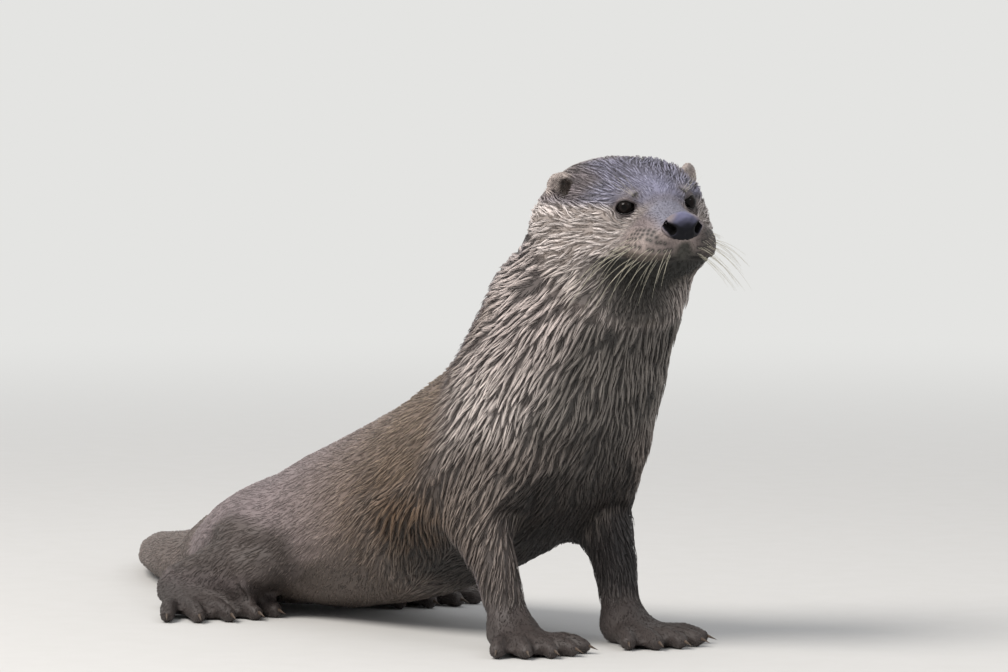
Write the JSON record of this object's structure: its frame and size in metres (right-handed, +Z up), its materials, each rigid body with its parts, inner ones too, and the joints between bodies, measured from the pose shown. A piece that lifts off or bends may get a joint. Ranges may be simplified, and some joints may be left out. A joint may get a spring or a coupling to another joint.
{
  "type": "eurasian otter",
  "caption": "Life-size museum model of a Eurasian otter propped on straight forelegs, head raised, hindquarters crouched and tail laid out behind.",
  "frame": {"origin": "on the floor, under the middle of the animal's bounding box", "axes": "+X the way the trunk points, +Y the animal's left, +Z up"},
  "size_m": [0.8776, 0.342, 0.3278],
  "materials": {
    "coat": "grey-brown coat of overlapping guard hairs, damp, over short underfur",
    "pale_coat": "the same coat, paler on the throat, cheeks and chin",
    "cornea": "very dark brown, wet and clear",
    "bare_skin": "finely pebbled dark grey pad, moist",
    "horn": "smooth brown horn, slightly shiny"
  },
  "bodies": {
    "root": {"chest": "coat", "loins": "coat", "tail_root": "coat", "tail_middle": "coat", "tail_tip": "coat", "foreleg_left": "coat", "foreleg_right": "coat", "hindleg_left": "coat", "hindleg_right": "coat", "forepaw_left": "coat", "forepaw_right": "coat", "hindpaw_left": "coat", "hindpaw_right": "coat", "ear_left": "coat", "ear_right": "coat", "head": "pale_coat", "neck": "pale_coat", "eye_left": "cornea", "eye_right": "cornea", "nose": "bare_skin", "claw_fore_left_1": "horn", "claw_fore_left_2": "horn", "claw_fore_left_3": "horn", "claw_fore_left_4": "horn", "claw_fore_left_5": "horn", "claw_fore_right_1": "horn", "claw_fore_right_2": "horn", "claw_fore_right_3": "horn", "claw_fore_right_4": "horn", "claw_fore_right_5": "horn", "claw_hind_left_1": "horn", "claw_hind_left_2": "horn", "claw_hind_left_3": "horn", "claw_hind_left_4": "horn", "claw_hind_left_5": "horn", "claw_hind_right_1": "horn", "claw_hind_right_2": "horn", "claw_hind_right_3": "horn", "claw_hind_right_4": "horn", "claw_hind_right_5": "horn"}
  },
  "joints": []
}
